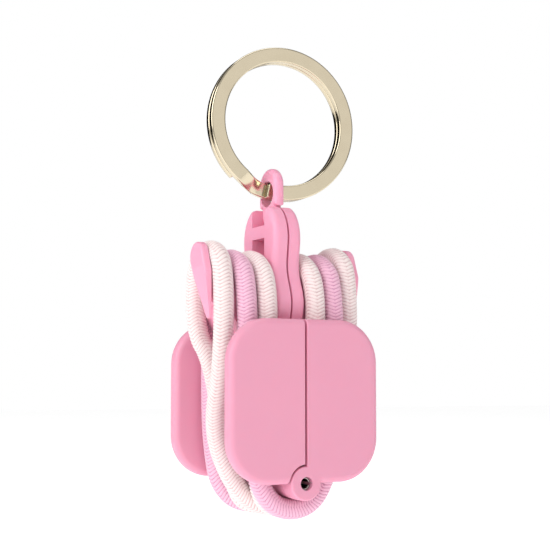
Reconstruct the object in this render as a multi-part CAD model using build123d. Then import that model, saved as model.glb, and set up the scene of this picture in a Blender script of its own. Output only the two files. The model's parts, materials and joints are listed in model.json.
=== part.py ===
"""Cord keeper clicker: two hinged halves with cleat arms, wound with elastic cord, on a split ring.

Everything is drawn in millimetres with the hinge pin's axis on Y through zero, +Z up and the
front at -Y, and is moved down at export so that the origin is where a hook bears in the ring.
"""

import math
import os

from build123d import *

# ---- plates: four quarter covers, two at the front and two at the back ----
PLATE_W = 31.0  # both plates of one side together, along X
PLATE_H = 29.8
PLATE_R = 8.0  # corner radius of the rounded square
PLATE_T = 3.0
PLATE_EDGE = 1.2  # rounding of the outer rim
BOSS_FLANGE = 0.6  # the plate's inner face lies this far outside the boss's rim
SEAM = 0.42  # gap between the left and the right half
SEAM_EDGE = 0.22  # rounding of a plate's edges along the seam
# ---- hinge ----
PIN_R = 1.25
PIN_WALL = 0.35  # rolled sheet of the slotted spring pin
PIN_SLOT = 0.7
PIN_RECESS = 0.9  # how far the pin's end lies under the plate's face
KNUCKLE_R = 3.0
RUN_FIT = 0.05  # radial clearance of what turns on the pin
GROOVE = 0.4  # gap between the boss and the other half
INNER_KNUCKLE_END = 4.0  # the right half's middle knuckles end here
INNER_KNUCKLE_START = 1.7  # the closing spring lies between them
KNUCKLE_GAP = 0.1
WASHER_T = 0.3
# ---- cords ----
CORD_D = 3.85
CORD_GAP = 0.075  # between a cord and what it lies on
TURN_GAP = 0.1  # between two turns on the barrel
RUN_GAP = 0.2  # between two turns on an arm
NECK_GAP = 0.225  # from the neck to the inner turn
SADDLE_RISE = 1.5  # the arm's top is this much higher under the outer turn
OUTER_R = 4.2  # round top of the arm's narrower end, under the outer turn
ARC_SHARE = 0.45  # of the shorter run beside a corner, taken by its arc
SLEEVE_WALL = 0.17
SLEEVE_L = 5.0
SPLICE_GAP = 0.2  # between the two ends that meet in a sleeve
PINK_SPLICE_Z = 17.95
SPLICE_DROP = 1.6  # the outer turn's sleeve ends this far below the middle of the arm's end
FERRULE_DROP = 6.1  # a ferrule stands this far below the web's top
FERRULE_L = 4.9
FERRULE_FLOOR = 0.6
SHELF_T = 1.6  # ledge under a ferrule
# ---- frame of one half: neck, web, arm and horn ----
WEB_DROP = 2.8  # the web ends this far below the plates' upper edge
SADDLE_UP = 6.5  # from the web's top to the middle of the arm's round top
ARM_END = 12.9
UNDERCUT = (9.2, 3.5)  # where the arm's underside starts to rise, and how far it rises
HORN_SEAT = 0.3  # what joins overlap by
HORN_T = 1.4
HORN_SPOTS = [(-1.15, 8.05, 2.75), (-4.0, 5.0, 1.2), (-4.3, -2.8, 0.8)]  # Y, height above the arm, radius
HORN_LEAN = (6.0, -6.0)  # heights where the outer face leans in, and where it would meet the inner one
HORN_EDGE = 0.45
NECK_EDGE = 1.1
NECK_SIDE = [(3.4, 24.6), (5.6, 22.6), (6.8, 18.6), (6.3, 12.6), (8.1, 6.2), (7.4, 2.5), (7.2, -3.0)]
SLOT_HALF = 2.5  # slot and window of the arch, front to back
SLOT_DEPTH = 3.5
BAR_H = 2.4  # cross bar between the slot and the window
WINDOW_H = 4.8
# ---- ring lug ----
LUG_T = 2.1
LUG_HALF = 3.5
LUG_UP = 7.9  # the lug's top, above the neck's
LUG_SINK = 2.4  # its foot, below the neck's top
LUG_STEP = 0.4  # its shoulder, above the neck's top
LUG_FIT = 0.1
LUG_EDGE = 0.9
LUG_HOLE_FIT = 0.485  # round the ring's wire
LUG_HOLE_UP = 2.9
DOWEL_R = 0.6
# ---- split ring ----
RING_R = 15.0
RING_W = 2.9  # radial width of the flat wire
RING_T = 2.8  # two coils together
RING_X = 2.0  # the ring has slid a little to one side in its hole
RING_LIFT = 0.45  # and bears upwards in it
RING_TURN = -5.0  # degrees that the ring has swivelled about the upright axis
COIL_GAP = 0.1
RING_CUT = 9.0  # degrees of each coil left open beside its crossover
RING_EDGE = 0.3
# ---- pegs that join a plate to its web ----
PEG_R = 0.8
PEG_IN_PLATE = 1.8
PEG_IN_WEB = 2.6
PEG_Z = (9.0, 22.0)
# ---- click mechanism in the right arm ----
REED_T = 0.25
REED_W = 7.0
REED_H = 8.0
REED_X = 6.4
DIMPLE_R = 2.2
RIVET_R = 0.6
RIVET_Y = 2.2
CAVITY_X = (4.6, 8.4)
CAVITY_HALF = 4.2
CAVITY_UP = 3.9  # above the middle of the arm's round top
COVER_T = 1.2
COVER_FIT = 0.05
STRIKER_R = 0.8
STRIKER_UP = 0.1
STRIKER_HOLE_R = 1.6
STRIKER_GAP = 0.25  # from the striker's tip to the reed's dimple
# ---- closing spring ----
WIRE_R = 0.22
COIL_R = 2.0
COIL_TURNS = 5.5
LEG_L = 6.5
LEG_FIT = 0.08

# ---- sizes that follow ----
OCTAGON = math.tan(math.radians(22.5))  # half a side of the eight-sided path round a unit circle
CORD_R = CORD_D / 2
NECK_X = KNUCKLE_R - 0.05  # half the thickness of the necks and webs
CORD_PITCH = CORD_D + TURN_GAP  # from turn to turn, along the barrel
RUN_X = [NECK_X + NECK_GAP + CORD_R + i * (CORD_D + RUN_GAP) for i in range(3)]  # turns on an arm
TURN_R = KNUCKLE_R + CORD_GAP + CORD_R  # a cord's middle round the barrel
RUN_Y = 2 * CORD_PITCH  # the outermost turns, and every run beside the arm
SADDLE_R = RUN_Y - CORD_R - CORD_GAP
OUTER_Y = OUTER_R + CORD_R + CORD_GAP  # the outer turn's middle, front and back, over the arm's end
WEB_TOP = PLATE_H - WEB_DROP
SADDLE_Z = WEB_TOP + SADDLE_UP
OUTER_Z = SADDLE_Z + SADDLE_R + SADDLE_RISE - OUTER_R
WHITE_SPLICE_Z = OUTER_Z - SLEEVE_L / 2 - SPLICE_DROP
STEP_X = RUN_X[2] - CORD_R - SLEEVE_WALL - CORD_GAP  # the arm is narrower outside this
HORN_X = RUN_X[2] + CORD_R + CORD_GAP  # inner face of the horn
BOSS_END = RUN_Y + CORD_R + CORD_GAP
PLATE_IN = BOSS_END + BOSS_FLANGE  # inner face of a plate from the middle plane
FACE = PLATE_IN + PLATE_T
CAVITY_TOP = SADDLE_Z + CAVITY_UP
STRIKER_Z = SADDLE_Z + STRIKER_UP
REED_Z = WEB_TOP + COVER_T  # lower edge of the reed
NECK_TOP = WEB_TOP + NECK_SIDE[0][1]
SLOT_FLOOR = NECK_TOP - SLOT_DEPTH
LUG_TOP = NECK_TOP + LUG_UP
LUG_FOOT_Z = NECK_TOP - LUG_SINK
LUG_SHOULDER = NECK_TOP + LUG_STEP
LUG_HOLE_R = math.hypot(RING_W, RING_T) / 2 + LUG_HOLE_FIT
LUG_HOLE_Z = NECK_TOP + LUG_HOLE_UP
FERRULE_FOOT = WEB_TOP - FERRULE_DROP
BOSS_R = KNUCKLE_R + 0.1
WASHER_R = KNUCKLE_R - 0.2
WASHER_OUT = BOSS_END - 0.02
KNUCKLE_OUT = WASHER_OUT - WASHER_T - 0.03
PEG_X = (SEAM / 2 + NECK_X) / 2
RING_MID_R = RING_R - RING_W / 2
RING_Z = LUG_HOLE_Z + RING_LIFT + math.sqrt(RING_MID_R**2 - RING_X**2)
HOOK_Z = RING_Z + math.sqrt((RING_R - RING_W) ** 2 - RING_X**2)  # where a hook bears
SPRING_HALF = INNER_KNUCKLE_START - WIRE_R - KNUCKLE_GAP


def tube_y(radius, y0, y1, x=0.0, z=0.0):
    """A round bar along Y from y0 to y1."""
    return Pos(x, (y0 + y1) / 2, z) * Rot(90, 0, 0) * Cylinder(radius, y1 - y0)


def tube_x(radius, x0, x1, y=0.0, z=0.0):
    """A round bar along X from x0 to x1."""
    return Pos((x0 + x1) / 2, y, z) * Rot(0, 90, 0) * Cylinder(radius, x1 - x0)


def block(x0, x1, y0, y1, z0, z1):
    """A box between two corners."""
    return Pos((x0 + x1) / 2, (y0 + y1) / 2, (z0 + z1) / 2) * Box(x1 - x0, y1 - y0, z1 - z0)


def both_ends(shape):
    """A shape and its mirror image through the middle plane of the depth."""
    return shape + mirror(shape, about=Plane.XZ)


# ---------------------------------------------------------------- plates
def whole_plate():
    """The rounded square at the front, before it is parted into two."""
    outline = Pos(0, PLATE_H / 2) * RectangleRounded(PLATE_W, PLATE_H, PLATE_R)
    plate = extrude(Plane.XZ.offset(PLATE_IN) * outline, PLATE_T)
    rims = plate.faces().filter_by(Axis.Y).edges()
    return fillet(rims, PLATE_EDGE)


def peg_holes(side):
    """The bars that the pegs fill, for one front plate."""
    return Part() + [
        tube_y(PEG_R, -PLATE_IN - PEG_IN_PLATE, -PLATE_IN + PEG_IN_WEB, side * PEG_X, z) for z in PEG_Z
    ]


def right_front_plate():
    """The right quarter cover, with the hinge boss that the pin is pressed into."""
    half = whole_plate() & block(SEAM / 2, PLATE_W, -2 * FACE, 0, -PLATE_H, 2 * PLATE_H)
    half = fillet(half.faces().sort_by(Axis.X)[0].edges().filter_by(Axis.Z), SEAM_EDGE)
    boss = tube_y(BOSS_R, -FACE, -BOSS_END)
    boss = fillet(boss.edges().sort_by(Axis.Y)[0], GROOVE)
    return half + boss - tube_y(PIN_R, -2 * FACE, 0) - peg_holes(1)


def left_front_plate():
    """The left quarter cover, hollowed round the other half's boss."""
    half = whole_plate() & block(-PLATE_W, -SEAM / 2, -2 * FACE, 0, -PLATE_H, 2 * PLATE_H)
    half = fillet(half.faces().sort_by(Axis.X)[-1].edges().filter_by(Axis.Z), SEAM_EDGE)
    return half - tube_y(BOSS_R + GROOVE, -2 * FACE, 0) - peg_holes(-1)


# ---------------------------------------------------------------- frames
def neck():
    """The right half of the neck and arch: a waisted side profile, front to back, drawn as a spline."""
    front = [(y, WEB_TOP + up) for y, up in NECK_SIDE]
    back = [(-y, z) for y, z in reversed(front)]
    line = [
        Line(back[-1], front[0]),
        Spline(*front),
        Line(front[-1], back[0]),
        Spline(*back),
    ]
    face = make_face(Plane.YZ.offset(SEAM / 2) * Wire(line))
    body = extrude(face, NECK_X - SEAM / 2, dir=(1, 0, 0))
    outer_rim = body.faces().sort_by(Axis.X)[-1].edges().sort_by(Axis.Z)
    return fillet(outer_rim[1:], NECK_EDGE)


def saddle():
    """The arm that the cords lie over: round-topped, with a narrower, higher end under the outer turn."""
    root = NECK_X - NECK_EDGE
    arm = block(root, STEP_X, -SADDLE_R, SADDLE_R, WEB_TOP, SADDLE_Z)
    arm += tube_x(SADDLE_R, root, STEP_X, z=SADDLE_Z)
    start, rise = UNDERCUT
    corner = Polyline((start, WEB_TOP), (STEP_X, WEB_TOP + rise), (STEP_X, WEB_TOP), close=True)
    arm -= extrude(Plane.XZ * make_face(corner), SADDLE_R, both=True)
    return arm + tube_x(OUTER_R, STEP_X, ARM_END, z=OUTER_Z)


def horn():
    """The blade that keeps the outer turn on the arm: upright in front, swept back from a low point."""
    outline = make_hull([edge for y, up, r in HORN_SPOTS for edge in (Pos(y, SADDLE_Z + up) * Circle(r)).edges()])
    blade = extrude(Plane.YZ.offset(HORN_X) * outline, HORN_T, dir=(1, 0, 0))
    blade = fillet(blade.faces().sort_by(Axis.X)[-1].edges(), HORN_EDGE)
    out, high, low = HORN_X + HORN_T, SADDLE_Z + HORN_LEAN[0], SADDLE_Z + HORN_LEAN[1]
    lean = Polyline((out, high), (out + HORN_T, high), (out + HORN_T, low), (HORN_X, low), close=True)
    blade -= extrude(Plane.XZ * make_face(lean), SADDLE_R, both=True)
    stub = outline & Pos(0, OUTER_Z) * Circle(OUTER_R)
    return blade + extrude(Plane.YZ.offset(ARM_END - HORN_SEAT) * stub, HORN_X - ARM_END + 2 * HORN_SEAT, dir=(1, 0, 0))


def half_frame(own_knuckles, other_knuckles):
    """The right-hand moulding: neck, web, arm, horn and its own hinge knuckles."""
    web = block(SEAM / 2, NECK_X, -PLATE_IN, PLATE_IN, 0, WEB_TOP)
    frame = neck() + web + saddle() + horn()
    frame -= both_ends(tube_y(BOSS_R + GROOVE, -PLATE_IN, -BOSS_END + KNUCKLE_GAP))
    for y0, y1 in other_knuckles:
        frame -= both_ends(tube_y(KNUCKLE_R + GROOVE / 2, -y1 - KNUCKLE_GAP, -y0 + KNUCKLE_GAP))
    for y0, y1 in own_knuckles:
        frame += both_ends(tube_y(KNUCKLE_R, -y1, -y0))
    shelf = block(NECK_X, RUN_X[0] + CORD_R, RUN_Y - CORD_R, RUN_Y + CORD_R, FERRULE_FOOT - SHELF_T, FERRULE_FOOT)
    frame += shelf
    frame -= tube_y(PIN_R + RUN_FIT, -PLATE_IN, PLATE_IN)
    return frame - both_ends(peg_holes(1))


RIGHT_KNUCKLES = [(INNER_KNUCKLE_START, INNER_KNUCKLE_END)]
LEFT_KNUCKLES = [(INNER_KNUCKLE_END + KNUCKLE_GAP, KNUCKLE_OUT)]
SPRING_ROOM = [(-INNER_KNUCKLE_START, INNER_KNUCKLE_START)]
WASHER_ROOM = [(KNUCKLE_OUT, BOSS_END)]


def tongue_pocket():
    """The room that the lug's foot takes in the necks, with its clearance."""
    return block(-LUG_T / 2 - LUG_FIT, LUG_T / 2 + LUG_FIT, -SLOT_HALF, SLOT_HALF, LUG_FOOT_Z - LUG_FIT, LUG_TOP)


def right_frame():
    """The right half's moulding, with the click chamber in its arm."""
    frame = half_frame(RIGHT_KNUCKLES, LEFT_KNUCKLES + SPRING_ROOM + WASHER_ROOM)
    frame -= tongue_pocket()
    frame -= tube_x(DOWEL_R, 0, LUG_T / 2 + 1.2, z=(LUG_FOOT_Z + LUG_SHOULDER) / 2)
    frame -= block(*CAVITY_X, -CAVITY_HALF, CAVITY_HALF, WEB_TOP, CAVITY_TOP)
    frame -= tube_x(STRIKER_HOLE_R, 0, CAVITY_X[0], z=STRIKER_Z)
    return frame - spring_leg_room()


def left_frame():
    """The left half's moulding, with the slot and window of the arch and the striker's seat."""
    frame = mirror(half_frame(LEFT_KNUCKLES, RIGHT_KNUCKLES + SPRING_ROOM + WASHER_ROOM), about=Plane.YZ)
    frame -= block(-2 * NECK_X, 0, -SLOT_HALF, SLOT_HALF, SLOT_FLOOR, LUG_TOP)
    frame -= block(-2 * NECK_X, 0, -SLOT_HALF, SLOT_HALF, SLOT_FLOOR - BAR_H - WINDOW_H, SLOT_FLOOR - BAR_H)
    frame -= tube_x(STRIKER_R, -NECK_X, 0, z=STRIKER_Z)
    return frame - spring_leg_room()


# ---------------------------------------------------------------- small parts
def hinge_pin():
    """A slotted spring pin: a rolled tube, open along its right-hand side."""
    half = FACE - PIN_RECESS
    pin = tube_y(PIN_R, -half, half) - tube_y(PIN_R - PIN_WALL, -half, half)
    return pin - block(0, PIN_R * 2, -half, half, -PIN_SLOT / 2, PIN_SLOT / 2)


def hinge_washers():
    """A thin washer each side, between a boss and the left knuckle."""
    ring = tube_y(WASHER_R, -WASHER_OUT, -WASHER_OUT + WASHER_T)
    return both_ends(ring - tube_y(PIN_R + RUN_FIT, -FACE, 0))


def pegs(side):
    """Four moulded pegs that join one half's plates to its web."""
    return both_ends(peg_holes(side))


def ring_lug():
    """The tab that carries the ring: a round head with a cross hole, and a foot in the arch."""
    middle = LUG_TOP - LUG_HALF
    head = Pos(0, middle) * Circle(LUG_HALF)
    head += Pos(0, (LUG_SHOULDER + middle) / 2) * Rectangle(2 * LUG_HALF, middle - LUG_SHOULDER)
    foot_half = SLOT_HALF - LUG_FIT
    head += Pos(0, (LUG_FOOT_Z + middle) / 2) * Rectangle(2 * foot_half, middle - LUG_FOOT_Z)
    lug = extrude(Plane.YZ.offset(-LUG_T / 2) * head, LUG_T)
    lug = fillet(lug.faces().filter_by(Axis.X).edges(), LUG_EDGE)
    lug -= tube_x(LUG_HOLE_R, -LUG_T, LUG_T, z=LUG_HOLE_Z)
    return lug - tube_x(DOWEL_R, -LUG_T / 2 + 0.5, LUG_T, z=(LUG_FOOT_Z + LUG_SHOULDER) / 2)


def lug_dowel():
    """The steel dowel that holds the lug's foot in the right neck."""
    return tube_x(DOWEL_R, -LUG_T / 2 + 0.5, LUG_T / 2 + 1.2, z=(LUG_FOOT_Z + LUG_SHOULDER) / 2)


def sector(start, end, y0, y1):
    """A stretch of flat ring from one angle to another, in degrees from +X towards +Z."""
    face = make_face(
        Polyline(
            (0, 0),
            *[
                (2 * RING_R * math.cos(math.radians(a)), 2 * RING_R * math.sin(math.radians(a)))
                for a in (start, (start + end) / 2, end)
            ],
            close=True,
        )
    )
    return extrude(Plane.XZ.offset(-y1) * face, y1 - y0)


def split_ring():
    """Flat wire in two coils that lie on each other and change places at one crossover."""
    ring = tube_y(RING_R, -RING_T / 2, RING_T / 2) - tube_y(RING_R - RING_W, -RING_T / 2, RING_T / 2)
    ring = fillet(ring.edges(), RING_EDGE)
    crossover = 222.0
    gap = tube_y(RING_R * 2, -COIL_GAP / 2, COIL_GAP / 2) - sector(
        crossover, crossover + RING_CUT, -COIL_GAP / 2, COIL_GAP / 2
    )
    ring -= gap
    ring -= sector(crossover - RING_CUT, crossover, -RING_T, 0)
    ring -= sector(crossover + RING_CUT, crossover + 2 * RING_CUT, 0, RING_T)
    return Rot(0, 0, RING_TURN) * Pos(RING_X, 0, RING_Z) * ring


def click_reed():
    """A spring steel strip with a pressed dimple, upright in the right arm's chamber."""
    reed = block(REED_X, REED_X + REED_T, -REED_W / 2, REED_W / 2, REED_Z, REED_Z + REED_H)
    dome = Sphere(DIMPLE_R * 1.6)
    sink = math.sqrt((DIMPLE_R * 1.6) ** 2 - DIMPLE_R**2)
    shell = dome - Sphere(DIMPLE_R * 1.6 - REED_T)
    cap = Pos(REED_X + REED_T + sink, 0, STRIKER_Z) * shell
    cap &= block(0, REED_X + REED_T, -REED_W, REED_W, 0, 60)
    reed = reed - tube_x(DIMPLE_R - REED_T, 0, 20, z=STRIKER_Z) + cap
    return reed - both_ends(tube_x(RIVET_R, 0, 20, -RIVET_Y, REED_Z + 1.2))


def reed_rivets():
    """Two rivets that hold the reed's lower edge to the cover's lip."""
    rivet = tube_x(RIVET_R, REED_X, REED_X + REED_T + 1.4, -RIVET_Y, REED_Z + 1.2)
    rivet += tube_x(RIVET_R * 1.8, REED_X - 0.4, REED_X, -RIVET_Y, REED_Z + 1.2)
    return both_ends(rivet)


def reed_cover():
    """The lid under the click chamber, with the lip that the reed is riveted to."""
    x0, x1 = CAVITY_X[0] + COVER_FIT, CAVITY_X[1] - COVER_FIT
    half = CAVITY_HALF - COVER_FIT
    lid = block(x0, x1, -half, half, WEB_TOP, WEB_TOP + COVER_T)
    lip = block(REED_X + REED_T, REED_X + REED_T + 1.4, -half, half, WEB_TOP + COVER_T, REED_Z + 2.4)
    return lid + lip - both_ends(tube_x(RIVET_R, 0, 20, -RIVET_Y, REED_Z + 1.2))


def striker_pin():
    """The left half's pin, which snaps the reed's dimple as the halves close."""
    dome_out = DIMPLE_R * 1.6 - math.sqrt((DIMPLE_R * 1.6) ** 2 - DIMPLE_R**2)
    tip = REED_X + REED_T - dome_out - STRIKER_GAP
    pin = tube_x(STRIKER_R, -NECK_X + 0.6, tip, z=STRIKER_Z)
    return fillet(pin.edges().sort_by(Axis.X)[-1], STRIKER_R * 0.6)


def spring_coil():
    """The helix of the closing spring's wire, from the left leg's foot to the right leg's."""
    helix = Helix(pitch=2 * SPRING_HALF / COIL_TURNS, height=2 * SPRING_HALF, radius=COIL_R)
    return Rot(90, 0, 0) * Pos(0, 0, -SPRING_HALF) * Rot(0, 0, 180) * helix


def spring_legs():
    """The two straight legs, which go up into the webs in line with the helix's ends."""
    coil = spring_coil()
    left, right = coil @ 0, coil @ 1
    return [Line(left - coil % 0 * LEG_L, left), Line(right, right + coil % 1 * LEG_L)]


def spring_leg_room():
    """The two holes that the legs stand in."""
    room = []
    for leg in spring_legs():
        section = Plane(origin=leg @ 0, z_dir=leg % 0) * Circle(WIRE_R + LEG_FIT)
        room.append(extrude(section, LEG_L, dir=leg % 0))
    return Part() + room


def closing_spring():
    """A torsion spring round the pin, with one leg up each half's web."""
    legs = spring_legs()
    wire = Wire([legs[0], spring_coil(), legs[1]])
    section = Plane(origin=wire @ 0, z_dir=wire % 0) * Circle(WIRE_R)
    return sweep(section, path=wire)


# ---------------------------------------------------------------- cords
def over_arm(x, half=RUN_Y, middle=SADDLE_Z):
    """The corners of a half turn over the right arm, from the front to the back."""
    near = OCTAGON * half
    return [(x, -half, middle + near), (x, -near, middle + half), (x, near, middle + half), (x, half, middle + near)]


def flipped(points):
    """The same stretch of a route on the other half, run the other way."""
    return [(-x, y, z) for x, y, z in reversed(points)]


def arc_radius(before, corner, after):
    """The arc at a corner: as large as 0.45 of the shorter of its two runs allows."""
    into, out = Vector(*corner) - Vector(*before), Vector(*after) - Vector(*corner)
    return ARC_SHARE * min(into.length, out.length) / math.tan(math.radians(into.get_angle(out) / 2))


def tube(route):
    """A round cord along straight runs and tangent arcs."""
    radii = [arc_radius(*route[i - 1 : i + 2]) for i in range(1, len(route) - 1)]
    path = FilletPolyline(*route, radius=radii)
    print("cord length", round(path.length, 1), "radii", [round(r, 1) for r in radii])
    section = Plane(origin=path @ 0, z_dir=path % 0) * Circle(CORD_R)
    cord = sweep(section, path=path)
    print("cord volume / section x length", round(cord.volume / (section.area * path.length), 4))
    return cord


def loop(over, splice_z, front, back):
    """A closed turn round both arms whose ends meet in a sleeve on the right half's back run.

    over, front and back are the right-hand points over the arm and below it, from the arm to the barrel.
    """
    x, y, _ = over[-1]
    route = [(x, y, splice_z + SPLICE_GAP / 2), *reversed(over), *front, *flipped(front)]
    route += [*[(-px, py, pz) for px, py, pz in over], *[(-px, py, pz) for px, py, pz in back], *reversed(back)]
    return [*route, (x, y, splice_z - SPLICE_GAP / 2)]


def pink_cord():
    """The middle turn: down beside the arm and round the ends of the barrel."""
    x, y = RUN_X[1], RUN_Y
    front = [(x, -y, 9.0), (6.8, -y, -0.8), (3.0, -y, -TURN_R)]
    back = [(x, y, 13.0), (x - 0.6, y, 5.0), (7.3, y, -1.2), (3.3, y, -TURN_R)]
    return tube(loop(over_arm(x), PINK_SPLICE_Z, front, back))


def white_outer_cord():
    """The outer turn: it slips inward past the others to the middle of the barrel."""
    x, y, pitch = RUN_X[2], OUTER_Y, CORD_PITCH
    front = [(x, -y, 22.0), (x - 0.4, -0.6, 9.5), (8.4, 0, -0.6), (3.1, 0, -TURN_R)]
    back = [(x, y, 28.0), (10.8, pitch, 22.5), (8.6, pitch - 0.2, 10.5), (6.0, pitch, -1.4), (3.3, pitch, -TURN_R)]
    return tube(loop(over_arm(x, y, OUTER_Z), WHITE_SPLICE_Z, front, back))


def white_inner_cord():
    """The turn next to the neck: from a ferrule on one web, round both arms, to the other ferrule."""
    x, turn = RUN_X[0], OCTAGON * TURN_R
    down = [(x, -RUN_Y, 23.0), (x, -CORD_PITCH, 12.0), (TURN_R, -CORD_PITCH, -turn), (turn, -CORD_PITCH, -TURN_R)]
    right = [(x, RUN_Y, FERRULE_FOOT + FERRULE_FLOOR), *reversed(over_arm(x)), *down]
    return tube([*right, *flipped(right)])


def sleeve(x, y, z):
    """A crimped sleeve over the two ends of a closed cord."""
    ring = Cylinder(CORD_R + SLEEVE_WALL, SLEEVE_L) - Cylinder(CORD_R, SLEEVE_L)
    return Pos(x, y, z) * ring


def ferrule(side):
    """A cap crimped on an end of the inner cord, standing on the web's shelf."""
    cup = Pos(0, 0, FERRULE_L / 2) * Cylinder(CORD_R + SLEEVE_WALL, FERRULE_L)
    cup -= Pos(0, 0, FERRULE_L / 2 + FERRULE_FLOOR) * Cylinder(CORD_R, FERRULE_L)
    return Pos(side * RUN_X[0], RUN_Y, FERRULE_FOOT) * cup


NODES = {
    "split_ring": split_ring,
    "ring_lug": ring_lug,
    "lug_dowel": lug_dowel,
    "right_frame": right_frame,
    "left_frame": left_frame,
    "right_front_plate": right_front_plate,
    "left_front_plate": left_front_plate,
    "right_back_plate": lambda: mirror(right_front_plate(), about=Plane.XZ),
    "left_back_plate": lambda: mirror(left_front_plate(), about=Plane.XZ),
    "right_plate_pegs": lambda: pegs(1),
    "left_plate_pegs": lambda: pegs(-1),
    "hinge_pin": hinge_pin,
    "hinge_washers": hinge_washers,
    "closing_spring": closing_spring,
    "click_reed": click_reed,
    "reed_rivets": reed_rivets,
    "reed_cover": reed_cover,
    "striker_pin": striker_pin,
    "white_inner_cord": white_inner_cord,
    "white_outer_cord": white_outer_cord,
    "pink_cord": pink_cord,
    "white_cord_sleeve": lambda: sleeve(RUN_X[2], OUTER_Y, WHITE_SPLICE_Z),
    "pink_cord_sleeve": lambda: sleeve(RUN_X[1], RUN_Y, PINK_SPLICE_Z),
    "right_cord_ferrule": lambda: ferrule(1),
    "left_cord_ferrule": lambda: ferrule(-1),
}

os.makedirs("parts", exist_ok=True)
for name, make in NODES.items():
    print(name)
    export_step(Pos(0, 0, -HOOK_Z) * make(), f"parts/{name}.step")
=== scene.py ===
"""Cord keeper clicker: its finishes, the split ring, the wound elastic cords and the small metal fittings."""

import json
import logging
import math
from dataclasses import dataclass
from enum import Enum

import bpy
import numpy as np
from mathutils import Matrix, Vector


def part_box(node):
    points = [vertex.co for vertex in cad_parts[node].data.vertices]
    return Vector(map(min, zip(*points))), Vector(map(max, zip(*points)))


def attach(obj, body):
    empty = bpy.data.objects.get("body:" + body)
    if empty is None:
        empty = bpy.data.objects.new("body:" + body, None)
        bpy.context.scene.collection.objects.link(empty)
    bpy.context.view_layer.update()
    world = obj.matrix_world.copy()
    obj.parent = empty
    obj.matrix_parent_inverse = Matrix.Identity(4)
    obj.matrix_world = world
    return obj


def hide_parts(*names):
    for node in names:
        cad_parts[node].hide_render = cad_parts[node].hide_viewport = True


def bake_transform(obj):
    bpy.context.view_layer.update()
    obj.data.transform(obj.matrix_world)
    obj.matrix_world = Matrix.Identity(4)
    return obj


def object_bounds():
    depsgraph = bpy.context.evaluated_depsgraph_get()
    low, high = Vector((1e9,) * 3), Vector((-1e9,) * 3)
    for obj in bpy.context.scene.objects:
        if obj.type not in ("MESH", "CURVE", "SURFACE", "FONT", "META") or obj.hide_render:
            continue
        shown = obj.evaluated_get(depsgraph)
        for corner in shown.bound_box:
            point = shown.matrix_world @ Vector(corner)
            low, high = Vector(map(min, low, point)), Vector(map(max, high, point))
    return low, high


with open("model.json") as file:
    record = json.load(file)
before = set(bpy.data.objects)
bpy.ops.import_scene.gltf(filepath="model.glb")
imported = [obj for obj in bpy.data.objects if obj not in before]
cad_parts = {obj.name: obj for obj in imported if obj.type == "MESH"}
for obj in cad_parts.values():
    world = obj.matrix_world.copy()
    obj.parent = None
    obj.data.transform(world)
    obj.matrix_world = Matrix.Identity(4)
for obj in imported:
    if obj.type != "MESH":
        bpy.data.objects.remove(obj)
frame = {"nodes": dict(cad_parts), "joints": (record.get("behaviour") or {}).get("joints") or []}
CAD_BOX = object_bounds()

LOG = logging.getLogger("clicker")
MM = 0.001
JOINTS = {joint["name"]: joint["pos_m"] for joint in frame["joints"]}
PIN = np.array(JOINTS["halves_open"], float)  # middle of the hinge pin
Point = tuple[float, float, float]


# ---------------------------------------------------------------- meshes
def lattice(rows: int, columns: int) -> np.ndarray:
    """Quads of a grid whose columns close on themselves, turned so that the surface looks outwards.

    Args:
        rows: rings of points, the first and the last left open.
        columns: points in a ring.

    Returns:
        The four corners of each quad, as rows of indices.
    """
    row, column = np.meshgrid(np.arange(rows - 1), np.arange(columns), indexing="ij")
    beside = (column + 1) % columns
    corners = [row * columns + column, row * columns + beside, (row + 1) * columns + beside]
    return np.stack([*corners, (row + 1) * columns + column], -1).reshape(-1, 4)


def skin(name: str, points: np.ndarray, along: np.ndarray | None = None) -> bpy.types.Object:
    """Makes a closed piece from rings of points, with a flat end on the first and the last ring.

    Args:
        name: the piece's name.
        points: rings x points in a ring x 3, in metres.
        along: how far along the piece each ring lies, in metres, for its UV map.

    Returns:
        The piece, linked to the scene, smooth all over but for its two ends.
    """
    rows, columns = points.shape[:2]
    quads = lattice(rows, columns)
    ends = [list(range(columns))[::-1], list(range((rows - 1) * columns, rows * columns))]
    mesh = bpy.data.meshes.new(name)
    mesh.from_pydata(points.reshape(-1, 3).tolist(), [], quads.tolist() + ends)
    smooth = np.ones(len(quads) + 2, bool)
    smooth[-2:] = False
    mesh.polygons.foreach_set("use_smooth", smooth)
    if along is not None:
        row, column = np.divmod(quads[:, 0], columns)
        u = np.stack([column, column + 1, column + 1, column], -1) / columns
        v = np.stack([along[row], along[row], along[row + 1], along[row + 1]], -1)
        flat = np.zeros((2 * columns, 2))
        uv = np.concatenate([np.stack([u, v], -1).reshape(-1, 2), flat])
        mesh.uv_layers.new(name="UVMap").data.foreach_set("uv", uv.astype(np.float32).ravel())
    mesh.update()
    piece = bpy.data.objects.new(name, mesh)
    bpy.context.scene.collection.objects.link(piece)
    return piece


def unit(vectors: np.ndarray) -> np.ndarray:
    """Scales each vector to length 1."""
    return vectors / np.linalg.norm(vectors, axis=-1, keepdims=True)


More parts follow.
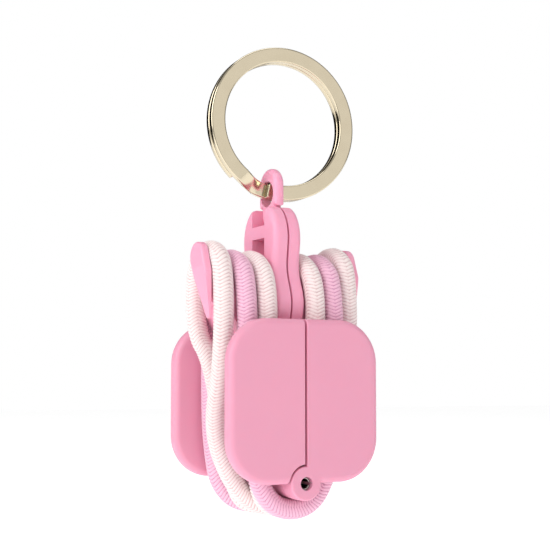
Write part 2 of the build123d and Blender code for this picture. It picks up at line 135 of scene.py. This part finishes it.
def carried(line: np.ndarray, outline: np.ndarray) -> np.ndarray:
    """Carries outlines along a line without twist.

    A fixed guide, made square to the line, gives each ring a first direction. How fast that direction
    turns about the line is added up along it and taken out again, so that no twist is left.

    Args:
        line: points of the line, about evenly spaced.
        outline: rings x points x 2, or points x 2 for one outline all along, in metres.

    Returns:
        Rings x points x 3, in metres.
    """
    ahead = unit(np.gradient(line, axis=0))
    guide = unit(np.ones(3))
    side = unit(guide - (ahead @ guide)[:, None] * ahead)
    above = np.cross(ahead, side)
    rate = np.einsum("ij,ij->i", np.gradient(side, axis=0), above)
    turn = -np.cumsum(rate)[:, None]
    first = np.cos(turn) * side + np.sin(turn) * above
    second = np.cross(ahead, first)
    rings = np.broadcast_to(outline, (len(line), *outline.shape[-2:]))
    return line[:, None] + rings[..., :1] * first[:, None] + rings[..., 1:] * second[:, None]


def rounded_bar(width: float, height: float, radius: float, arc_points: int = 5) -> np.ndarray:
    """A rectangle with round corners, and a point a little way along each flat to keep the flat flat.

    Args:
        width: along the first axis.
        height: along the second axis.
        radius: of the corners.
        arc_points: points on each corner's arc.

    Returns:
        The outline's points, counter-clockwise.
    """
    corner = np.array([[1, 1], [-1, 1], [-1, -1], [1, -1]]) * (np.array([width, height]) / 2 - radius)
    quarter = np.linspace(0, math.pi / 2, arc_points)
    turns = np.arange(4)[:, None] * math.pi / 2 + quarter
    arcs = corner[:, None] + radius * np.stack([np.cos(turns), np.sin(turns)], -1)
    lead = 0.5 * radius * np.stack([-np.sin(turns[:, [0]]), np.cos(turns[:, [0]])], -1)
    tail = 0.5 * radius * np.stack([-np.sin(turns[:, [-1]]), np.cos(turns[:, [-1]])], -1)
    return np.concatenate([arcs[:, :1] - lead, arcs, arcs[:, -1:] + tail], 1).reshape(-1, 2)


def turned(profile: np.ndarray, centre: np.ndarray, axis: int, angles: np.ndarray) -> np.ndarray:
    """Turns a closed profile about an axis of the frame.

    Args:
        profile: points x 2, the distance from the axis and the height along it, or rings of such points.
        centre: a point on the axis.
        axis: 1 for Y, 2 for Z.
        angles: one angle for each ring.

    Returns:
        Rings x points x 3.
    """
    rings = np.broadcast_to(profile, (len(angles), *profile.shape[-2:]))
    cosine, sine = np.cos(angles)[:, None], np.sin(angles)[:, None]
    radius, height = rings[..., 0], rings[..., 1]
    if axis == 2:
        return centre + np.stack([radius * cosine, radius * sine, height], -1)
    return centre + np.stack([radius * sine, height, radius * cosine], -1)


# ---------------------------------------------------------------- node trees
def linear(colour: str) -> tuple[float, float, float, float]:
    """Turns an sRGB hex colour to linear red, green, blue and a full alpha."""
    parts = np.array([int(colour[i : i + 2], 16) / 255 for i in (1, 3, 5)])
    parts = np.where(parts <= 0.04045, parts / 12.92, ((parts + 0.055) / 1.055) ** 2.4)
    return (*parts.tolist(), 1.0)


def add(tree: bpy.types.NodeTree, kind: str, sockets: dict | None = None, **settings) -> bpy.types.Node:
    """Adds a node to a tree.

    Args:
        tree: the tree.
        kind: the node's type, such as ShaderNodeTexNoise.
        sockets: for each input, by name or number, a value to set or an output to link.
        settings: the node's own settings.

    Returns:
        The node.
    """
    node = tree.nodes.new(kind)
    for name, value in settings.items():
        setattr(node, name, value)
    for socket, value in (sockets or {}).items():
        if isinstance(value, bpy.types.NodeSocket):
            tree.links.new(value, node.inputs[socket])
        else:
            node.inputs[socket].default_value = value
    return node


def noise(
    tree: bpy.types.NodeTree, where: bpy.types.NodeSocket, size_mm: float, detail: float
) -> bpy.types.NodeSocket:
    """Adds cloudy noise with spots of about this size, and gives the output with its grey value."""
    sockets = {"Vector": where, "Scale": 1 / (size_mm * MM), "Detail": detail}
    return add(tree, "ShaderNodeTexNoise", sockets).outputs[0]


def blank(name: str) -> tuple[bpy.types.Material, bpy.types.NodeTree]:
    """A material with an empty node tree, and the tree."""
    material = bpy.data.materials.new(name)
    material.use_nodes = True
    material.node_tree.nodes.clear()
    return material, material.node_tree


def surface(tree: bpy.types.NodeTree, sockets: dict) -> None:
    """Ends a tree in a Principled shader with these inputs."""
    shader = add(tree, "ShaderNodeBsdfPrincipled", sockets)
    add(tree, "ShaderNodeOutputMaterial", {"Surface": shader.outputs[0]})


@dataclass(frozen=True)
class MouldedAbs:
    """Injection moulded ABS in a satin, spark-eroded mould.

    The eye sees a soft, broad gloss with no grain at arm's length, a very fine grain close to, and a
    faint drift of shade where the melt has flowed. Light goes a little way in, so edges glow.
    """

    name: str
    colour: str
    flow_colour: str
    roughness: float = 0.46
    grain_mm: float = 0.16  # spark grain is about 0.05 mm, drawn coarser so that it shows
    flow_mm: float = 9.0
    glow_mm: float = 0.6

    def material(self) -> bpy.types.Material:
        """Makes the material."""
        material, tree = blank(self.name)
        where = add(tree, "ShaderNodeTexCoord").outputs["Object"]
        flow = noise(tree, where, self.flow_mm, 2.0)
        shades = {0: flow, 6: linear(self.colour), 7: linear(self.flow_colour)}
        colour = add(tree, "ShaderNodeMix", shades, data_type="RGBA")
        grain = noise(tree, where, self.grain_mm, 3.0)
        rough = {0: grain, 3: self.roughness - 0.05, 4: self.roughness + 0.05}
        roughness = add(tree, "ShaderNodeMapRange", rough)
        bump = {"Height": grain, "Strength": 0.12, "Distance": 0.02 * MM}
        surface(
            tree,
            {
                "Base Color": colour.outputs[2],
                "Roughness": roughness.outputs[0],
                "IOR": 1.53,
                "Subsurface Weight": 0.25,
                "Subsurface Radius": (1.0, 0.35, 0.45),
                "Subsurface Scale": self.glow_mm * MM,
                "Normal": add(tree, "ShaderNodeBump", bump).outputs[0],
            },
        )
        return material


@dataclass(frozen=True)
class PlatedWire:
    """Flat steel wire, tumbled and nickel plated.

    The eye sees a warm, nearly mirror-bright metal, with hairlines along the wire from rolling and a
    slight haze that tumbling leaves.
    """

    name: str
    colour: str
    haze_colour: str
    roughness: float
    hairline_mm: float = 0.1
    haze_mm: float = 2.5

    def material(self) -> bpy.types.Material:
        """Makes the material."""
        material, tree = blank(self.name)
        where = add(tree, "ShaderNodeTexCoord").outputs["Object"]
        haze = noise(tree, where, self.haze_mm, 4.0)
        shades = {0: haze, 6: linear(self.colour), 7: linear(self.haze_colour)}
        colour = add(tree, "ShaderNodeMix", shades, data_type="RGBA")
        fine = noise(tree, where, self.hairline_mm, 2.0)
        rough = {0: haze, 3: self.roughness * 0.7, 4: self.roughness * 1.4}
        roughness = add(tree, "ShaderNodeMapRange", rough)
        bump = {"Height": fine, "Strength": 0.05, "Distance": 0.01 * MM}
        surface(
            tree,
            {
                "Base Color": colour.outputs[2],
                "Metallic": 1.0,
                "Roughness": roughness.outputs[0],
                "Normal": add(tree, "ShaderNodeBump", bump).outputs[0],
            },
        )
        return material


class Yarn(Enum):
    """The two dyed yarns: each yarn's own colour on the rib crowns, and a darker tint for painted shade down
    between the ribs.
    """

    # each pair: the yarn's own colour, then a darker tint that is painted shade between the ribs
    WHITE = ("#f3e4e2", "#cda4a6")
    PINK = ("#efbdd3", "#c37aa0")


@dataclass(frozen=True)
class BraidedPolyester:
    """Textured polyester yarn braided over rubber.

    The eye sees matt, slightly fuzzy ribs in herringbone in the yarn's own colour, with painted shade in a
    darker tint down between them, and hairs of filament across each rib.
    """

    name: str
    yarn: Yarn
    filament_mm: float = 0.12  # filaments are about 0.02 mm, drawn coarser so that they show

    def material(self) -> bpy.types.Material:
        """Makes the material, which reads the braid's own height from the piece to paint shade between the
        ribs.
        """
        material, tree = blank(self.name)
        where = add(tree, "ShaderNodeTexCoord").outputs["Object"]
        crown = add(tree, "ShaderNodeAttribute", attribute_name=Braid.HEIGHT)
        fuzz = noise(tree, where, self.filament_mm, 3.0)
        uneven = add(tree, "ShaderNodeMath", {0: fuzz, 1: 0.5}, operation="SUBTRACT")
        lifted = {0: uneven.outputs[0], 1: 0.35, 2: crown.outputs["Fac"]}
        height = add(tree, "ShaderNodeMath", lifted, operation="MULTIPLY_ADD", use_clamp=True)
        # painted shade: the colour runs from the yarn's own on the crowns to a darker tint low between the
        # ribs, broken up at random by the fuzz noise
        shade = add(tree, "ShaderNodeMapRange", {0: height.outputs[0], 1: 0.05, 2: 0.62})
        top, deep = self.yarn.value
        shades = {0: shade.outputs[0], 6: linear(deep), 7: linear(top)}
        colour = add(tree, "ShaderNodeMix", shades, data_type="RGBA")
        bump = {"Height": fuzz, "Strength": 0.35, "Distance": 0.03 * MM}
        surface(
            tree,
            {
                "Base Color": colour.outputs[2],
                "Roughness": 0.82,
                "IOR": 1.45,
                "Sheen Weight": 0.25,
                "Sheen Roughness": 0.5,
                "Subsurface Weight": 0.12,
                "Subsurface Radius": (1.0, 0.8, 0.8),
                "Subsurface Scale": 0.3 * MM,
                "Normal": add(tree, "ShaderNodeBump", bump).outputs[0],
            },
        )
        return material


class Finish(Enum):
    """Every finish on the object that isn't yarn."""

    FRAME = MouldedAbs("satin_abs_frame", "#f4a6c1", "#f2a5c0")
    PLATE = MouldedAbs("satin_abs_plate", "#e89eb6", "#e49bb5", roughness=0.5)
    NICKEL = PlatedWire("tumbled_nickel_plate", "#d9cdb3", "#cfc2a8", 0.13)
    SPRING = PlatedWire("rolled_spring_steel", "#c9c6c0", "#aeaaa4", 0.2)
    CRIMP = PlatedWire("drawn_brass_satin_nickel", "#cfcac0", "#b5afa4", 0.3)
    NYLON = MouldedAbs("natural_nylon", "#efeade", "#e6dfcf", roughness=0.4, glow_mm=1.2)

    def get(self) -> bpy.types.Material:
        """The finish's material, made once."""
        return bpy.data.materials.get(self.value.name) or self.value.material()


def dress(piece: bpy.types.Object, material: bpy.types.Material) -> None:
    """Gives a piece, or a CAD node, one material all over."""
    piece.data.materials.clear()
    piece.data.materials.append(material)


# ---------------------------------------------------------------- split ring
@dataclass
class SplitRing:
    """The key ring: flat wire wound in two coils that cross over once, beside the lug."""

    outer_radius: float = 15.0 * MM
    wire_width: float = 2.9 * MM
    wire_thickness: float = 1.3 * MM
    edge: float = 0.3 * MM
    coil_offset: float = 0.7 * MM
    sprung: float = 0.14 * MM  # at most this much further out on each side where the coils have sprung apart
    tightest: float = math.radians(20)  # where they haven't
    crossover_lean: float = math.radians(24)
    swivel: float = math.radians(-5)  # about the upright axis through the lug
    start: float = math.radians(256)
    cross_from: float = math.radians(590)
    cross_to: float = math.radians(612)
    end: float = math.radians(947)
    rings: int = 900

    def centre(self) -> np.ndarray:
        """The ring's middle before it swivels, found from the plain ring's box."""
        low, high = (np.array(corner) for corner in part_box("split_ring"))
        middle = (low + high) / 2
        return np.array([middle[0] / math.cos(self.swivel), 0, middle[2]])

    def wire(self) -> bpy.types.Object:
        """Builds the wire.

        A flat bar's outline is turned about the ring's centre through nearly two turns. Its offset
        along Y goes from the front coil to the back one in a smooth step at the crossover, where the
        bar also leans a little, as bent wire does, and grows a little on the side where the coils
        have sprung apart. The whole then swivels about the upright axis.

        Returns:
            The piece.
        """
        middle = self.outer_radius - self.wire_width / 2
        angle = np.linspace(self.start, self.end, self.rings)
        step = np.clip((angle - self.cross_from) / (self.cross_to - self.cross_from), 0, 1)
        step = step**2 * (3 - 2 * step)
        apart = self.coil_offset + self.sprung * (0.5 - 0.5 * np.cos(angle - self.tightest)) ** 2
        offset = apart * (2 * step - 1)
        lean = self.crossover_lean * np.sin(step * math.pi)
        outline = rounded_bar(self.wire_width, self.wire_thickness, self.edge)
        cosine, sine = np.cos(lean)[:, None], np.sin(lean)[:, None]
        radial = middle + outline[:, 0] * cosine - outline[:, 1] * sine
        deep = offset[:, None] + outline[:, 0] * sine + outline[:, 1] * cosine
        points = turned(np.stack([radial, deep], -1), self.centre(), 1, math.pi / 2 - angle)
        x, y = points[..., 0].copy(), points[..., 1].copy()
        points[..., 0] = x * math.cos(self.swivel) - y * math.sin(self.swivel)
        points[..., 1] = x * math.sin(self.swivel) + y * math.cos(self.swivel)
        return skin("split_ring_wire", points, middle * (angle - self.start))

    def build(self) -> None:
        """Makes the ring and hides the plain one."""
        piece = self.wire()
        dress(piece, Finish.NICKEL.get())
        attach(piece, "ring")
        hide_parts("split_ring")
        LOG.info("%s: %d points", piece.name, len(piece.data.vertices))


# ---------------------------------------------------------------- cords
@dataclass(frozen=True)
class Braid:
    """The braid's pattern: herringbone columns of ribs round a cord."""

    HEIGHT = "braid_height"

    diameter: float = 3.85 * MM
    rib: float = 0.62 * MM  # from rib to rib along the cord
    depth: float = 0.2 * MM
    columns: int = 3  # herringbones round the cord
    climb: float = 1.2  # ribs' rise across half a column, in ribs
    step: float = 0.105 * MM
    round_points: int = 36

    def height(self, along: np.ndarray, around: np.ndarray) -> np.ndarray:
        """How high the braid stands, from 0 between ribs to 1 on a crown.

        The ribs are round-topped waves along the cord. Their phase climbs and falls round it in a
        triangle wave, which makes the herringbone, and they dip where they meet at its turns.

        Args:
            along: distance along the cord.
            around: angle round it.

        Returns:
            The height for each pair of a distance and an angle.
        """
        column = np.abs(2 * ((around * self.columns / (2 * math.pi)) % 1) - 1)[None, :]
        wander = 0.12 * np.sin(along / (4.3 * MM)) + 0.1 * np.sin(along / (1.9 * MM) + 1.3)
        phase = (along / self.rib + wander)[:, None] + self.climb * column
        crown = 1 - np.abs(2 * (phase % 1) - 1) ** 2.2
        meeting = 1 - 0.35 * np.abs(2 * column - 1) ** 5
        return crown * meeting


@dataclass
class Cord:
    """One braided elastic cord on its route."""

    name: str
    node: str
    slot: str
    yarn: Yarn
    route: list[Point]  # in millimetres from the middle of the hinge pin
    braid: Braid
    bend_half: float = 2.5 * MM  # each side of the hinge, how far the stretch goes that bends

    def centre_line(self) -> np.ndarray:
        """The smooth line of the route: its points are the control points of a NURBS curve.

        Returns:
            The curve's own points, in metres.
        """
        curve = bpy.data.curves.new(self.name + "_line", "CURVE")
        curve.dimensions = "3D"
        spline = curve.splines.new("NURBS")
        spline.points.add(len(self.route) - 1)
        places = np.array(self.route) * MM + PIN
        weighted = np.column_stack([places, np.ones(len(places))])
        spline.points.foreach_set("co", weighted.astype(np.float32).ravel())
        spline.order_u = 3
        spline.use_endpoint_u = True
        spline.resolution_u = 40
        holder = bpy.data.objects.new(curve.name, curve)
        wire = bpy.data.meshes.new_from_object(holder)
        points = np.zeros(len(wire.vertices) * 3, np.float32)
        wire.vertices.foreach_get("co", points)
        bpy.data.meshes.remove(wire)
        bpy.data.objects.remove(holder)
        bpy.data.curves.remove(curve)
        return points.reshape(-1, 3).astype(float)

    def even_line(self) -> tuple[np.ndarray, np.ndarray]:
        """The line's points moved to even steps along it.

        Returns:
            The points, and how far along the cord each lies.
        """
        line = self.centre_line()
        reach = np.concatenate([[0], np.cumsum(np.linalg.norm(np.diff(line, axis=0), axis=1))])
        along = np.linspace(0, reach[-1], round(reach[-1] / self.braid.step))
        return np.stack([np.interp(along, reach, line[:, i]) for i in range(3)], -1), along

    def build(self) -> None:
        """Makes the cord: a tube whose radius follows the braid's height."""
        line, along = self.even_line()
        around = np.linspace(0, 2 * math.pi, self.braid.round_points, endpoint=False)
        height = self.braid.height(along, around)
        radius = self.braid.diameter / 2 - self.braid.depth * (1 - height)
        outline = radius[..., None] * np.stack([np.cos(around), np.sin(around)], -1)
        piece = skin(self.name, carried(line, outline), along)
        attribute = piece.data.attributes.new(Braid.HEIGHT, "FLOAT", "POINT")
        attribute.data.foreach_set("value", height.astype(np.float32).ravel())
        dress(piece, BraidedPolyester(self.slot, self.yarn).material())
        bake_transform(piece)
        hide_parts(self.node)
        LOG.info("%s: %.1f mm long, %d points", piece.name, along[-1] / MM, len(piece.data.vertices))


@dataclass
class Winding:
    """The three cords wound on both halves, from the neck outwards."""

    braid: Braid
    run_x: tuple[float, float, float] = (5.1, 9.15, 13.2)  # inner, middle and outer turns on an arm
    run_y: float = 7.9
    outer_y: float = 6.2  # the outer turn lies on the arm's narrower end
    pitch: float = 3.95
    saddle_z: float = 33.5  # middle of the arm's round top
    outer_z: float = 36.7  # the same under the outer turn
    turn: float = 5.0  # a cord's middle round the barrel
    foot_z: float = 21.5  # where the inner cord stands in its ferrules
    pink_splice_z: float = 17.95  # middle of each closed turn's sleeve
    white_splice_z: float = 32.6
    splice_gap: float = 0.2

    @property
    def octagon(self) -> float:
        """Half a side of the eight-sided path round a unit circle."""
        return math.tan(math.pi / 8)

    def over_arm(self, x: float, half: float, middle: float) -> list[Point]:
        """The corners of a half turn over the right arm, from the front to the back."""
        near = self.octagon * half
        top = middle + half
        return [(x, -half, middle + near), (x, -near, top), (x, near, top), (x, half, middle + near)]

    @staticmethod
    def flipped(points: list[Point]) -> list[Point]:
        """The same stretch on the other half, run the other way."""
        return [(-x, y, z) for x, y, z in reversed(points)]

    def loop(self, over: list[Point], splice_z: float, front: list[Point], back: list[Point]) -> list[Point]:
        """A closed turn round both arms whose ends meet in a sleeve on the right half's back run.

        Args:
            over: the right-hand points over the arm, from the front to the back.
            splice_z: height of the sleeve.
            front: the right-hand points below the arm at the front, from the arm to the barrel.
            back: the same at the back.

        Returns:
            The route's points.
        """
        x, y, _ = over[-1]
        half_gap = self.splice_gap / 2
        route = [(x, y, splice_z + half_gap), *reversed(over), *front, *self.flipped(front)]
        route += [(-px, py, pz) for px, py, pz in over]
        route += [(-px, py, pz) for px, py, pz in back]
        return [*route, *reversed(back), (x, y, splice_z - half_gap)]

    def pink(self) -> list[Point]:
        """The middle turn: down beside the arm and round the ends of the barrel."""
        x, y = self.run_x[1], self.run_y
        front = [(x, -y, 9.0), (6.8, -y, -0.8), (3.0, -y, -self.turn)]
        back = [(x, y, 13.0), (x - 0.6, y, 5.0), (7.3, y, -1.2), (3.3, y, -self.turn)]
        return self.loop(self.over_arm(x, y, self.saddle_z), self.pink_splice_z, front, back)

    def white_outer(self) -> list[Point]:
        """The outer turn: it slips inward past the others to the middle of the barrel."""
        x, y, pitch = self.run_x[2], self.outer_y, self.pitch
        front = [(x, -y, 22.0), (x - 0.4, -0.6, 9.5), (8.4, 0, -0.6), (3.1, 0, -self.turn)]
        back = [(x, y, 28.0), (10.8, pitch, 22.5), (8.6, pitch - 0.2, 10.5), (6.0, pitch, -1.4)]
        back += [(3.3, pitch, -self.turn)]
        return self.loop(self.over_arm(x, y, self.outer_z), self.white_splice_z, front, back)

    def white_inner(self) -> list[Point]:
        """The turn next to the neck: from one ferrule, round both arms, to the other."""
        x, near = self.run_x[0], self.octagon * self.turn
        down = [
            (x, -self.run_y, 23.0),
            (x, -self.pitch, 12.0),
            (self.turn, -self.pitch, -near),
            (near, -self.pitch, -self.turn),
        ]
        over = self.over_arm(x, self.run_y, self.saddle_z)
        right = [(x, self.run_y, self.foot_z), *reversed(over), *down]
        return [*right, *self.flipped(right)]

    def build(self) -> None:
        """Makes all three cords."""
        white, pink = (Yarn.WHITE, "white_braid"), (Yarn.PINK, "pink_braid")
        routes = {
            "white_inner": (self.white_inner(), *white),
            "white_outer": (self.white_outer(), *white),
            "pink": (self.pink(), *pink),
        }
        for name, (route, yarn, slot) in routes.items():
            Cord(f"{name}_braided_cord", f"{name}_cord", slot, yarn, route, self.braid).build()


# ---------------------------------------------------------------- small fittings
@dataclass
class Fittings:
    """The rolled hinge pin, the crimped sleeves and ferrules, and the closing spring."""

    pin_radius: float = 1.25 * MM
    pin_wall: float = 0.35 * MM
    pin_half: float = 12.6 * MM
    pin_slot: float = 0.7 * MM
    pin_edge: float = 0.12 * MM
    crimp_wall: float = 0.17 * MM
    crimp_dent: float = 0.07 * MM
    crimps: int = 6
    crimp_levels: int = 23  # points up the outside of a crimped wall
    ferrule_floor: float = 0.6 * MM
    ferrule_vent: float = 0.01 * MM  # radius left open in a ferrule's floor, so that its surface closes
    spring_wire: float = 0.44 * MM
    spring_radius: float = 2.0 * MM
    spring_turns: float = 5.5
    spring_half: float = 1.38 * MM
    spring_leg: float = 6.5 * MM
    steps: int = 96

    def finish(self, piece: bpy.types.Object, node: str, finish: Finish, slot: str, body: str) -> None:
        """Dresses a rigid fitting, puts it on its body and hides the plain one.

        Args:
            piece: the fitting.
            node: the CAD node that it stands for.
            finish: its finish.
            slot: the record's slot for it; not used.
            body: the body it rides on.
        """
        dress(piece, finish.get())
        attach(piece, body)
        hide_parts(node)
        LOG.info("%s: %d points", piece.name, len(piece.data.vertices))

    def pin(self) -> None:
        """The slotted spring pin: its wall's long outline turned about the hinge from lip to lip."""
        wall = rounded_bar(self.pin_wall, 2 * self.pin_half, self.pin_edge)
        wall = wall + [self.pin_radius - self.pin_wall / 2, 0]
        lip = math.asin(self.pin_slot / 2 / self.pin_radius)
        angles = math.pi / 2 + np.linspace(lip, 2 * math.pi - lip, self.steps)
        piece = skin("rolled_hinge_pin", turned(wall, PIN, 1, angles))
        self.finish(piece, "hinge_pin", Finish.SPRING, "spring_steel", "right_half")

    def crimped(self, node: str, foot: float) -> None:
        """A drawn tube with rolled lips, pressed inwards at even places round its middle.

        The tube's wall is turned about the cord. Its radius drops in a cosine dent at each crimp,
        which fades towards both lips.

        Args:
            node: the CAD node that it stands for.
            foot: thickness of its closed end, or 0 for a sleeve open at both ends.
        """
        low, high = (np.array(corner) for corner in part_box(node))
        centre = (low + high) / 2
        outer, length = (high[0] - low[0]) / 2, high[2] - low[2]
        level = np.linspace(-0.5, 0.5, self.crimp_levels + 2)[1:-1]
        lip = 0.45 * self.crimp_wall
        wall = np.concatenate(
            [
                [[outer - self.crimp_wall, -length / 2 + lip], [outer - self.crimp_wall / 2, -length / 2]],
                np.stack([np.full(self.crimp_levels, outer), level * (length - lip)], -1),
                [[outer - self.crimp_wall / 2, length / 2], [outer - self.crimp_wall, length / 2 - lip]],
            ]
        )
        inside = wall[::-1][2:-2] - [self.crimp_wall, 0]
        if foot:
            rim = [[self.ferrule_vent, -length / 2], [self.ferrule_vent, foot - length / 2]]
            wall = np.concatenate([wall[1:], inside[:-3], rim[::-1]])
        else:
            wall = np.concatenate([wall, inside])
        angles = np.linspace(0, 2 * math.pi, self.steps + 1)
        reach = np.cos(np.clip(wall[:, 1] / length, -0.5, 0.5) * math.pi) ** 2
        dent = (0.5 + 0.5 * np.cos(angles * self.crimps))[:, None] ** 3 * reach
        rings = np.stack([wall[:, 0] - self.crimp_dent * dent, np.broadcast_to(wall[:, 1], dent.shape)], -1)
        piece = skin(f"crimped_{node}", turned(rings, centre, 2, angles))
        body = "left_half" if node.startswith("left") else "right_half"
        self.finish(piece, node, Finish.CRIMP, "crimp_metal", body)

    def spring(self) -> None:
        """The closing spring: a round wire on a helix, with a straight leg up each half's web."""
        turns = np.linspace(0, 2 * math.pi * self.spring_turns, 400)
        rise = self.spring_half * (1 - 2 * turns / turns[-1])
        helix = np.stack([-np.cos(turns), rise / self.spring_radius, -np.sin(turns)], -1) * self.spring_radius
        ahead = unit(np.gradient(helix, axis=0))
        reach = np.linspace(self.spring_leg, 0, 40)[:-1, None]
        line = np.concatenate([helix[0] - ahead[0] * reach, helix, helix[-1] + ahead[-1] * reach[::-1]]) + PIN
        around = np.linspace(0, 2 * math.pi, 12, endpoint=False)
        outline = self.spring_wire / 2 * np.stack([np.cos(around), np.sin(around)], -1)
        piece = skin("closing_spring_wire", carried(line, outline))
        dress(piece, Finish.SPRING.get())
        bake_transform(piece)
        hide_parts("closing_spring")
        LOG.info("%s: %d points", piece.name, len(piece.data.vertices))

    def build(self) -> None:
        """Makes every fitting."""
        self.pin()
        self.spring()
        for node, foot in (
            ("white_cord_sleeve", 0),
            ("pink_cord_sleeve", 0),
            ("right_cord_ferrule", self.ferrule_floor),
            ("left_cord_ferrule", self.ferrule_floor),
        ):
            self.crimped(node, foot)


# ---------------------------------------------------------------- studio
@dataclass
class Studio:
    """Pale floor, soft light and the camera."""

    azimuth: float = math.radians(-28)
    distance: float = 228 * MM
    above_pin: float = 17.7 * MM
    pitch: float = math.radians(4.15)
    pan: float = math.radians(-0.16)
    lens: float = 77.8
    shift_y: float = 0.044
    floor_drop: float = 12 * MM
    floor_half: float = 1.5
    floor_glow: float = 0.55
    light_from_left: float = 0.56  # strength of the white all round as light, at its left and right ends
    light_from_right: float = 0.33
    card: tuple[float, float] = (0.4, 0.6)  # the dark card starts and is full where Y is this

    def camera(self) -> None:
        """Sets the camera in front and to the left, a little below the middle, looking slightly up."""
        data = bpy.data.cameras.new("camera")
        data.lens = self.lens
        data.sensor_width = 36
        data.shift_y = self.shift_y
        data.clip_start = 0.01
        camera = bpy.data.objects.new("camera", data)
        toward = np.array([math.sin(self.azimuth), -math.cos(self.azimuth), 0])
        camera.location = PIN + self.distance * toward + np.array([0, 0, self.above_pin])
        camera.rotation_euler = (math.pi / 2 + self.pitch, 0, self.azimuth + self.pan)
        bpy.context.scene.collection.objects.link(camera)
        bpy.context.scene.camera = camera

    def light(self, name: str, place: tuple, aim: tuple, size: float, power: float) -> None:
        """Adds one square soft box.

        Args:
            name: the light's name.
            place: where it stands, in metres from the hinge pin.
            aim: what it points at, likewise.
            size: its side, in metres.
            power: in watts.
        """
        data = bpy.data.lights.new(name, "AREA")
        data.shape = "SQUARE"
        data.size = size
        data.energy = power
        lamp = bpy.data.objects.new(name, data)
        lamp.location = PIN + np.array(place)
        back = unit(np.array(place, float) - np.array(aim, float))
        yaw = math.atan2(back[0], -back[1])
        lamp.rotation_euler = (math.acos(back[2]), 0, yaw)
        bpy.context.scene.collection.objects.link(lamp)

    def world(self) -> None:
        """White all round, softer as light than it looks, and a dark card behind that polish mirrors."""
        world = bpy.data.worlds.new("studio_white")
        world.use_nodes = True
        tree = world.node_tree
        tree.nodes.clear()
        ray = add(tree, "ShaderNodeLightPath").outputs
        seen = ray["Is Camera Ray"]
        direction = add(tree, "ShaderNodeTexCoord").outputs["Generated"]
        parts = add(tree, "ShaderNodeSeparateXYZ", {0: direction})
        across = {0: parts.outputs["X"], 1: -1.0, 2: 1.0, 3: self.light_from_left, 4: self.light_from_right}
        fall = add(tree, "ShaderNodeMapRange", across)
        deep = {0: parts.outputs["Y"], 1: self.card[0], 2: self.card[1], 3: 1.0, 4: 0.0}
        behind = add(tree, "ShaderNodeMapRange", deep)
        mirrored = add(tree, "ShaderNodeMapRange", {0: ray["Is Glossy Ray"], 3: 1.0, 4: behind.outputs[0]})
        both = {0: fall.outputs[0], 1: mirrored.outputs[0]}
        around = add(tree, "ShaderNodeMath", both, operation="MULTIPLY")
        strength = add(tree, "ShaderNodeMapRange", {0: seen, 3: around.outputs[0], 4: 1.0})
        glow = add(tree, "ShaderNodeBackground", {"Color": (1, 1, 1, 1), "Strength": strength.outputs[0]})
        add(tree, "ShaderNodeOutputWorld", {"Surface": glow.outputs[0]})
        bpy.context.scene.world = world

    def floor(self) -> None:
        """A wide pale floor under the hanging object."""
        half = self.floor_half
        level = CAD_BOX[0][2] - self.floor_drop
        mesh = bpy.data.meshes.new("floor")
        corners = [(-half, -half, level), (half, -half, level), (half, half, level), (-half, half, level)]
        mesh.from_pydata(corners, [], [(0, 1, 2, 3)])
        plane = bpy.data.objects.new("floor", mesh)
        bpy.context.scene.collection.objects.link(plane)
        material, tree = blank("pale_floor")
        where = add(tree, "ShaderNodeTexCoord").outputs["Object"]
        speck = add(tree, "ShaderNodeTexNoise", {"Vector": where, "Scale": 900.0})
        shades = {0: speck.outputs[0], 6: linear("#fdfdfd"), 7: linear("#ffffff")}
        colour = add(tree, "ShaderNodeMix", shades, data_type="RGBA")
        glow = {"Emission Color": (1, 1, 1, 1), "Emission Strength": self.floor_glow}
        surface(tree, {"Base Color": colour.outputs[2], "Roughness": 0.95, **glow})
        dress(plane, material)

    def build(self) -> None:
        """Sets the studio up."""
        bpy.context.scene.view_settings.view_transform = "Standard"
        self.world()
        self.floor()
        self.camera()
        self.light("key_left", (-0.42, -0.12, 0.25), (0, 0, 0.03), 0.35, 1.2)
        self.light("front_right", (0.21, -0.65, 0.22), (0, 0, 0.068), 0.4, 0.3)
        self.light("top", (0.02, -0.1, 0.6), (0, 0, 0.03), 0.4, 0.85)


# ---------------------------------------------------------------- carried-over CAD nodes
PEGS = ["right_plate_pegs", "left_plate_pegs"]
FINISHES = {
    Finish.FRAME: ["right_frame", "left_frame", "ring_lug", "reed_cover", *PEGS],
    Finish.PLATE: ["right_front_plate", "left_front_plate", "right_back_plate", "left_back_plate"],
    Finish.SPRING: ["lug_dowel", "click_reed", "reed_rivets", "striker_pin"],
    Finish.NYLON: ["hinge_washers"],
}


def dress_nodes() -> None:
    """Gives every carried-over CAD node its finish."""
    for finish, names in FINISHES.items():
        for name in names:
            dress(frame["nodes"][name], finish.get())


def main() -> None:
    """Builds every sub-assembly in order."""
    logging.basicConfig(level=logging.INFO, format="%(name)s %(message)s")
    dress_nodes()
    SplitRing().build()
    Winding(Braid()).build()
    Fittings().build()
    Studio().build()


if __name__ == "__main__":
    main()
